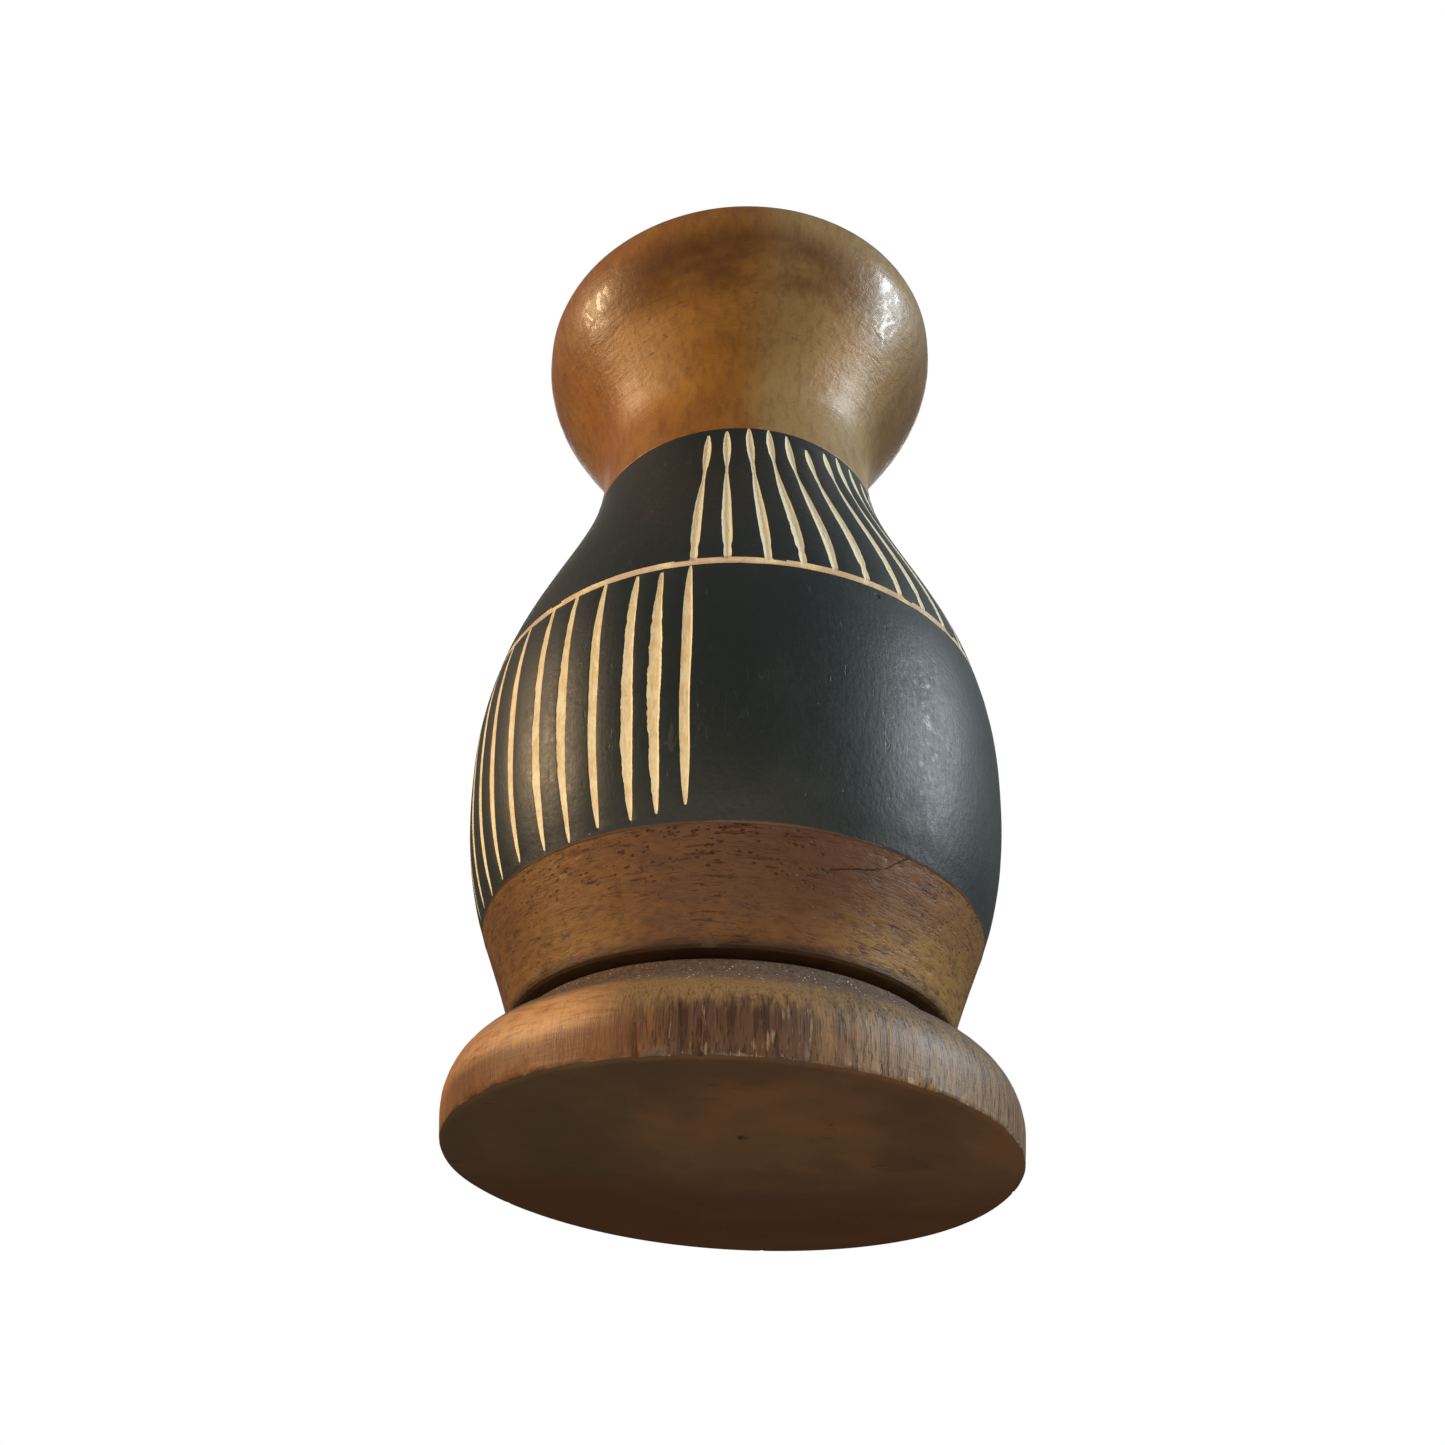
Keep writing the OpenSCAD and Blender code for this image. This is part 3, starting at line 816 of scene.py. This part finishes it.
def strokePlace(lines, stroke, width, z, u):
    # where the line u across a stroke, -1 to 1 between its edges, lies at a height:
    # turn in radians, depth, whether it is bare wood, and u
    zmm, number, half = z / mm, stroke["number"], stroke["half"]
    side = -1 if u < 0 else 1
    wander = 0.16 * noise.noise(Vector((stroke["seed"] * 3.1 + half * 40, zmm / 14, 0)))
    lean = -lines["lean"] * (zmm - cutShape["leanMiddle"]) / cutShape["leanReach"]
    tear = noise.noise(Vector((zmm / 2.3, number * 7.7 + half * 50, side * 9.3)))
    tear += 0.7 * noise.noise(Vector((zmm / 0.55, number * 5.1 + half * 50, side * 3.7)))
    worse = 1.0 if side < 0 else 0.45
    ragged = 1 + cutShape["ragged"] * lines["rough"][number] * worse * tear
    halfWidth = max(cutShape["least"], width / 2 * ragged)
    keel = lines["keel"]
    if lines["scooped"]:
        shape = 1 - u * u
    else:
        shape = (1 + u) / (1 + keel) if u < keel else (1 - u) / (1 - keel)
    depth = lines["deep"] * width * max(0, shape)
    depth += cutShape["edgeDrop"] if abs(u) <= 1 and width > 0.3 * mm else 0
    lumps = noise.noise(Vector((zmm / 0.9, number * 2.7 + u * 2.2, half * 30)))
    depth += 0.10 * width * lumps * (abs(u) < 0.9)
    turn = radians(stroke["turn"] + wander + lean) + u * halfWidth / outline(z)
    return turn, max(0, depth), width > 0 and abs(u) <= 1, u


def carvedColumns(lines, sign, widthAt, rows):
    # for each column its place in every row; half 1 is the far side, whose strokes come in another order
    turns = lineTurns(lines, sign)
    order = sorted(range(len(turns)), key=lambda k: turns[k])
    columns = []
    for half in (0, 1):
        for k, turn in zip(order, sorted(turns)):
            number = k if half == 0 else len(order) - 1 - k
            stroke = {"turn": turn + half * 180, "seed": k, "number": number, "half": half}
            widths = [widthAt(number, z / mm) * mm for z in rows]
            for u in cutShape["across"]:
                columns.append([strokePlace(lines, stroke, width, z, u) for width, z in zip(widths, rows)])
    filled = []
    for here, there in zip(columns, columns[1:] + columns[:1]):
        filled.append(here)
        apart = degrees(there[0][0] - here[0][0]) % 360
        if apart > 1.6:   # a gap between two strokes gets plain columns
            count = max(1, round(apart / cutShape["gapSpread"]) - 1)
            for step in range(1, count + 1):
                share = step / (count + 1)
                filled.append([(a[0] + ((b[0] - a[0]) % tau) * share, 0, False, 0)
                               for a, b in zip(here, there)])
    return filled


def ringDip(turn, z):
    # the V-shaped ring: its depth at a height, with small chips along its two edges
    chip = noise.noise(Vector((sin(turn) * 60, cos(turn) * 60, 3 + (z > ringHeight))))
    chip += 0.6 * noise.noise(Vector((sin(turn) * 170, cos(turn) * 170, 8 + (z > ringHeight))))
    half = cutShape["ringHalf"] + cutShape["ringChip"] * chip
    return cutShape["ringDepth"] * max(0, 1 - abs(z - ringHeight) / half)


def blackGrid(columns, rows):
    grid = []
    for i, z in enumerate(rows):
        row = []
        for column in columns:
            turn, cut = column[i][:2]
            point = Vector(spot(outline(z), turn, z))
            wobble = cutShape["wobble"] * (0.5 + 0.5 * noise.noise(point * 38))
            row.append(spot(outline(z) - max(cut, ringDip(turn, z)) - wobble, turn, z))
        grid.append(row)
    return grid


def finishOf(columns, rows, i, j, keel):
    # the finish of the face between rows i, i+1 and columns j, j+1: black 0, torn wall 1, smooth wall 3
    k = (j + 1) % len(columns)
    if all(columns[a][b][2] for a in (j, k) for b in (i, i + 1)):
        return 3 if columns[j][i][3] > keel - 0.05 else 1
    middle = (rows[i] + rows[i + 1]) / 2
    return int(ringDip(columns[j][i][0], middle) > 0.03 * mm)


def makeBelly(materials):
    low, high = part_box("belly")
    ringEdge = ringHeight - cutShape["ringHalf"]
    rows = evenly(low.z + 0.12 * mm, ringEdge - 0.4 * mm, cutShape["rowSpacing"])
    rows += [ringEdge - 0.2 * mm, ringEdge, ringEdge + 0.2 * mm, ringEdge + 0.45 * mm, ringEdge + 0.7 * mm,
             ringEdge + 0.95 * mm, ringHeight]
    columns = carvedColumns(lowerLines, -1, lowerWidth, rows)
    grid = blackGrid(columns, rows)
    outerCount = len(rows)
    turns = [column[0][0] for column in columns]
    spigot, rebate, rebateTop = radiiAt("belly", high.z)[1], radiiAt("belly", low.z)[0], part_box("base")[1].z
    rest = [(spigot, ringHeight), (spigot, high.z - 0.4 * mm), (spigot - 0.4 * mm, high.z)]
    rest += [(insideLine(z), z) for z in reversed(evenly(rebateTop, high.z, 5 * mm))]
    rest += [(rebate, rebateTop), (rebate, low.z), (outline(low.z) - 0.14 * mm, low.z)]
    grid += [[spot(r, turn, z) for turn in turns] for r, z in rest]

    def slotOf(i, j):
        if i >= outerCount - 1:
            return 2 if i < len(grid) - 2 else 0
        return finishOf(columns, rows, i, j, lowerLines["keel"])

    belly = turnedPiece("belly.black", grid, slotOf, materials)
    place(belly, "belly", "black_finish")


def makeShoulder(materials):
    low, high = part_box("shoulder")
    ringEdge = ringHeight + cutShape["ringHalf"]
    rows = [ringHeight, ringEdge - 0.95 * mm, ringEdge - 0.7 * mm, ringEdge - 0.45 * mm, ringEdge - 0.2 * mm,
            ringEdge, ringEdge + 0.2 * mm]
    rows += evenly(ringEdge + 0.4 * mm, high.z - 0.12 * mm, cutShape["rowSpacing"])
    columns = carvedColumns(upperLines, 1, upperWidth, rows)
    grid = blackGrid(columns, rows)
    outerCount = len(rows)
    turns = [column[-1][0] for column in columns]
    rebate, rebateLow = radiiAt("shoulder", high.z)[0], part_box("mouth")[0].z
    lowRebate, lowTop = radiiAt("shoulder", low.z)[0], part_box("belly")[1].z
    rest = [(outline(high.z) - 0.14 * mm, high.z), (rebate, high.z), (rebate, rebateLow)]
    rest += [(insideLine(z), z) for z in reversed(evenly(lowTop, rebateLow, 5 * mm))]
    rest += [(lowRebate, lowTop), (lowRebate, low.z)]
    grid += [[spot(r, turn, z) for turn in turns] for r, z in rest]

    def slotOf(i, j):
        if i >= outerCount - 1:
            return 2 if i > outerCount - 1 else 0
        return finishOf(columns, rows, i, j, upperLines["keel"])

    shoulder = turnedPiece("shoulder.black", grid, slotOf, materials)
    place(shoulder, "shoulder", "black_finish")


# the cup-shaped mouth

mouthShape = {"columns": 300, "spacing": 0.8 * mm, "wobble": 0.14 * mm, "lipSteps": 9}


def makeMouth(woods):
    low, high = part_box("mouth")
    spigot = radiiAt("mouth", low.z)[1]
    turns = [tau * (j / mouthShape["columns"] - 0.5) for j in range(mouthShape["columns"])]

    def sunk(turn, r, z):
        point = Vector(spot(r, turn, z))
        return mouthShape["wobble"] * (0.5 + 0.4 * noise.noise(point * 32) + 0.2 * noise.noise(point * 110))

    outerLip, innerLip = outline(lipBase), insideLine(lipBase)
    middle, half = (outerLip + innerLip) / 2, (outerLip - innerLip) / 2
    rise = high.z - lipBase
    path = [(outline(z), z) for z in evenly(neckHeight + 0.25 * mm, lipBase, mouthShape["spacing"])]
    outerCount = len(path)
    for t in evenly(0.06, 0.94, 0.88 / mouthShape["lipSteps"]):   # a squarish round
        side = 1 if t < 0.5 else -1
        path.append((middle + half * side * abs(cos(pi * t)) ** 0.7, lipBase + rise * sin(pi * t) ** 0.7))
    path += [(insideLine(z), z) for z in reversed(evenly(low.z, lipBase, 1.2 * mm))]
    grid = []
    for i, (r, z) in enumerate(path):
        away = 1 if i < outerCount else cos(pi * min(1, (i - outerCount) / mouthShape["lipSteps"]))
        drop = 0.12 * mm * (z - lipBase) / rise if z > lipBase else 0
        grid.append([spot(r - away * sunk(turn, r, z), turn, z - drop) for turn in turns])
    rest = [(spigot - 0.4 * mm, low.z), (spigot, low.z + 0.4 * mm), (spigot, neckHeight),
            (outline(neckHeight) - 0.2 * mm, neckHeight)]
    grid += [[spot(r, turn, z) for turn in turns] for r, z in rest]
    firstHidden = len(path) + 1
    mouth = turnedPiece("mouth.cup", grid, lambda i, j: int(firstHidden <= i < len(grid) - 2), woods)
    place(mouth, "mouth", "mouth_wood")


insideWood = makeHiddenWood()
blackPieceFinishes = [makeBlackFinish(), makeBareWood("tornWoodInTheCuts", -0.04), insideWood,
                      makeBareWood("smoothWoodInTheCuts", 0.14)]
makeFoot([makeFootWood(), insideWood])
makeBase([makeBaseWood(), insideWood])
makeBelly(blackPieceFinishes)
makeShoulder(blackPieceFinishes)
makeMouth([makeMouthWood(), insideWood])


# floor, light and camera

studio = {
    "floorHeight": -0.30, "floorRadius": 30, "floor": (0.50, 0.495, 0.485), "floorGlow": 1.25,
    "backdrop": (1.0, 1.0, 1.0), "above": (0.20, 0.20, 0.195), "below": (0.090, 0.068, 0.048),
}


def makeStudio():
    bpy.ops.mesh.primitive_circle_add(vertices=96, radius=studio["floorRadius"], fill_type="NGON",
                                      location=(0, 0, studio["floorHeight"]))
    floor = bpy.context.object
    floor.name = "floor"
    material, surface, _ = newMaterial("plainFloor")
    finishSurface(surface, {
        "Base Color": studio["floor"], "Roughness": 0.9,
        "Emission Color": studio["floor"], "Emission Strength": studio["floorGlow"],
    })
    floor.data.materials.append(material)
    floor.visible_diffuse = False   # the vase hangs over the floor, which throws no light up at it
    floor.visible_glossy = False
    world = bpy.data.worlds.new("softStudio")
    bpy.context.scene.world = world
    world.use_nodes = True
    world.node_tree.nodes.clear()
    start = Wire(world.node_tree)
    seen = start.add("LightPath", out="Is Camera Ray")
    height = start.add("SeparateXYZ", {}, {0: start.add("TexCoord", out="Generated")}, "Z")
    dome = height.between(-0.35, 0.75).tint(studio["below"], studio["above"])
    soft = start.add("Background", {}, {"Color": dome, "Strength": 1.0})
    plain = start.add("Background", {}, {"Color": studio["backdrop"], "Strength": 1.0})
    mixed = start.add("MixShader", {}, {0: seen, 1: soft, 2: plain})
    start.add("OutputWorld", {}, {"Surface": mixed})


def softbox(name, turn, lift, distance, size, watts, colour, aim=(0, 0, 0.10)):
    # an area light at a turn and a lift from the front, facing the aim
    light = bpy.data.lights.new(name, "AREA")
    light.shape = "RECTANGLE"
    light.size, light.size_y = size
    light.energy = watts
    light.color = colour
    lamp = bpy.data.objects.new(name, light)
    bpy.context.scene.collection.objects.link(lamp)
    flat = distance * cos(radians(lift))
    x, y, z = spot(flat, radians(turn), distance * sin(radians(lift)))
    away = Vector((x, y, z))
    lamp.location = Vector(aim) + away
    lamp.rotation_euler = away.to_track_quat("Z", "Y").to_euler()
    lamp.visible_camera = False


view = {
    "eye": (0, -0.2408, -0.0800),   # in front of the vase and below its foot, looking up
    "pitch": 33.03, "yaw": 8.63, "roll": 5.58,   # degrees: up, towards the vase's left, tilt of the frame
    "lens": 34.88, "sensor": 36, "shift": (0.1176, 0.0473),
}


def makeCamera():
    camera = bpy.data.cameras.new("camera")
    camera.lens = view["lens"]
    camera.sensor_width = view["sensor"]
    camera.shift_x, camera.shift_y = view["shift"]
    camera.clip_start = 0.01
    holder = bpy.data.objects.new("camera", camera)
    bpy.context.scene.collection.objects.link(holder)
    aim = Matrix.Rotation(radians(view["yaw"]), 4, "Z") @ Matrix.Rotation(radians(90 + view["pitch"]), 4, "X")
    tilt = Matrix.Rotation(radians(view["roll"]), 4, "Z")
    holder.matrix_world = Matrix.Translation(view["eye"]) @ aim @ tilt
    bpy.context.scene.camera = holder


makeStudio()
softbox("leftSoftbox", -78, 20, 1.2, (0.30, 0.34), 9.6, (1.0, 0.69, 0.40))
softbox("rightSoftbox", 84, 22, 1.2, (0.26, 0.62), 12, (0.83, 0.94, 1.0))
softbox("lowFill", -8, -40, 0.45, (0.5, 0.3), 1.45, (1.0, 0.84, 0.62))
softbox("backFill", 180, 42, 1.4, (1.0, 0.6), 2.2, (1.0, 0.95, 0.88))
makeCamera()
bpy.context.scene.view_settings.view_transform = "Standard"
print("studio made")
